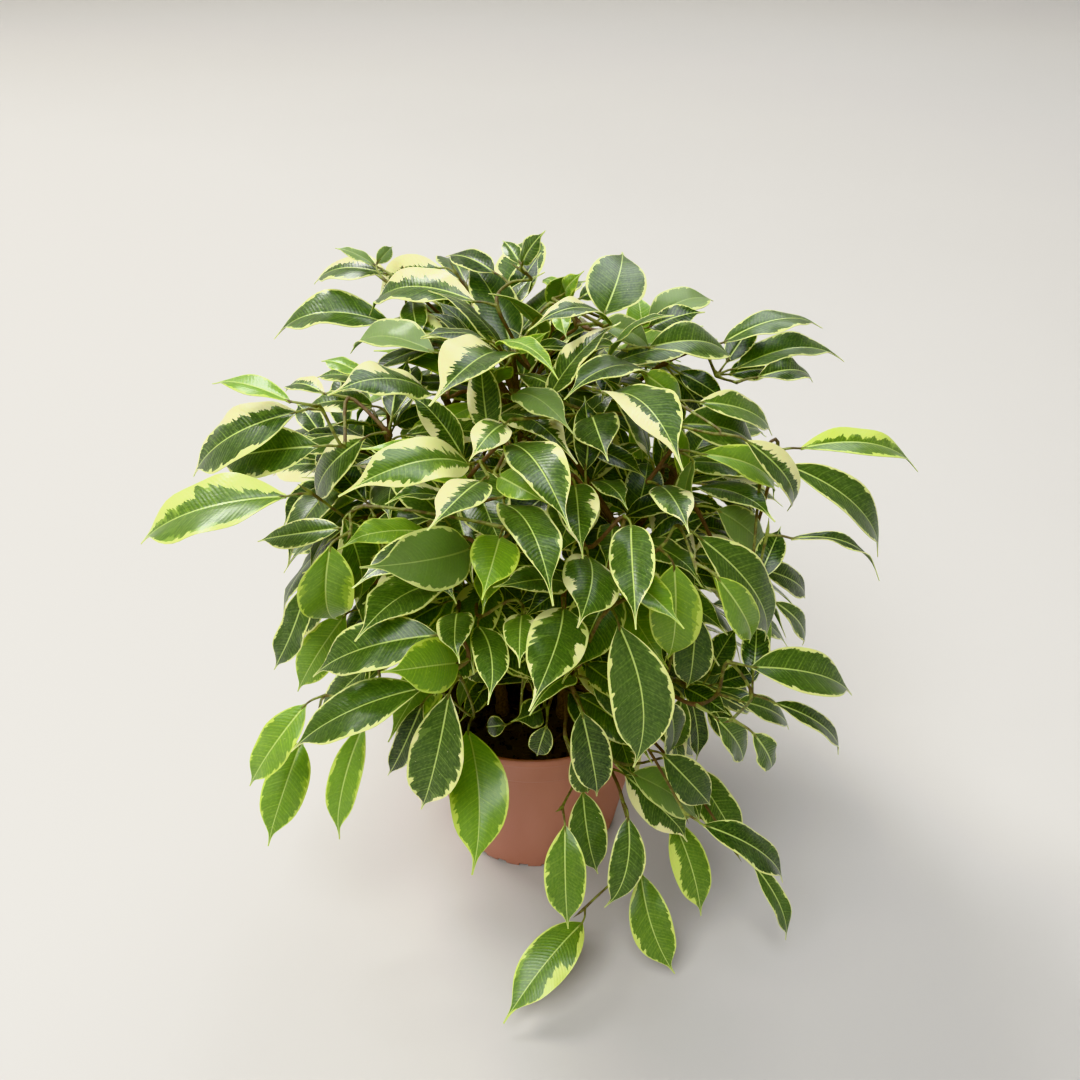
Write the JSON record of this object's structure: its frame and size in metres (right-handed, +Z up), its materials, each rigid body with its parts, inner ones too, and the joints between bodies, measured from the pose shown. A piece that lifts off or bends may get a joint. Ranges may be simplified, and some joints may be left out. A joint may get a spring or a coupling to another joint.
{
  "type": "potted weeping fig",
  "caption": "Bushy weeping fig with slender stems and small pointed cream-edged leaves, standing in soil in a plain round nursery pot.",
  "frame": {"origin": "The centre of the pot's underside, on the surface the pot stands on.", "axes": "+Z points up along the pot's axis. -Y points to the side seen in the picture, so +X is that view's right."},
  "size_m": [0.2973, 0.2697, 0.3144],
  "materials": {
    "pot_plastic": "satin",
    "peat": "rough and crumbly",
    "foliage": "waxy leaves and smooth bark"
  },
  "bodies": {
    "root": {"pot": "pot_plastic", "soil": "peat", "leafy_stem_centre": "foliage", "leafy_stem_front_left": "foliage", "leafy_stem_front_right": "foliage", "leafy_stem_right": "foliage", "leafy_stem_back_right": "foliage", "leafy_stem_back_left": "foliage", "leafy_stem_left": "foliage"}
  },
  "joints": []
}
